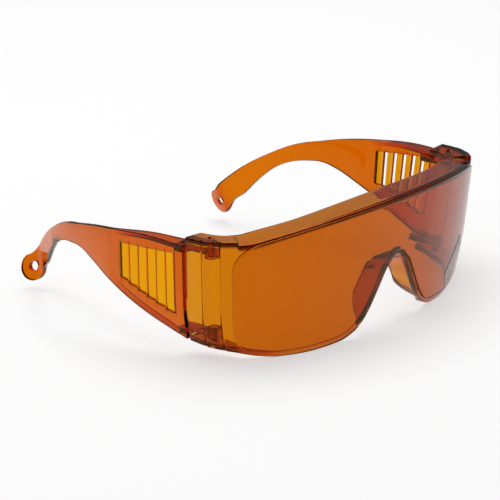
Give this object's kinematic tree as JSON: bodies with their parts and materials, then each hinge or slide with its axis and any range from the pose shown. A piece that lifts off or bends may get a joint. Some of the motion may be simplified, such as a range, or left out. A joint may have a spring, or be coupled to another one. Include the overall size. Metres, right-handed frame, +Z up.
{
  "type": "safety glasses",
  "caption": "Clear amber wrap-round safety glasses with a one-piece brow-shelf lens, louvred folding side arms and lanyard eyes at the arm tips.",
  "frame": {"origin": "centre of the underside of the overall box, on the table the glasses stand on with both arms open", "axes": "+X to the wearer's left and the widest way across, +Y from the lens back along the arms, +Z up the lens; the lens looks along -Y"},
  "size_m": [0.1672, 0.151, 0.055],
  "materials": {
    "amber_front": "gloss",
    "amber_temple": "gloss",
    "amber_pin": "gloss",
    "label_film": "matte"
  },
  "bodies": {
    "front": {"lens_front": "amber_front", "hinge_pin_upper_right": "amber_pin", "hinge_pin_lower_right": "amber_pin", "hinge_pin_upper_left": "amber_pin", "hinge_pin_lower_left": "amber_pin", "label": "label_film"},
    "right_arm": {"temple_right": "amber_temple"},
    "left_arm": {"temple_left": "amber_temple"}
  },
  "joints": [
    {"name": "right_temple_fold", "type": "hinge", "parent": "front", "child": "right_arm", "pos_m": [-0.07337, -0.0412, 0.0267], "axis": [0.1098, 0.0694, -0.9915], "range_deg": [0, 90]},
    {"name": "left_temple_fold", "type": "hinge", "parent": "front", "child": "left_arm", "pos_m": [0.07337, -0.0412, 0.0267], "axis": [0.1098, -0.0694, 0.9915], "range_deg": [0, 74]}
  ]
}
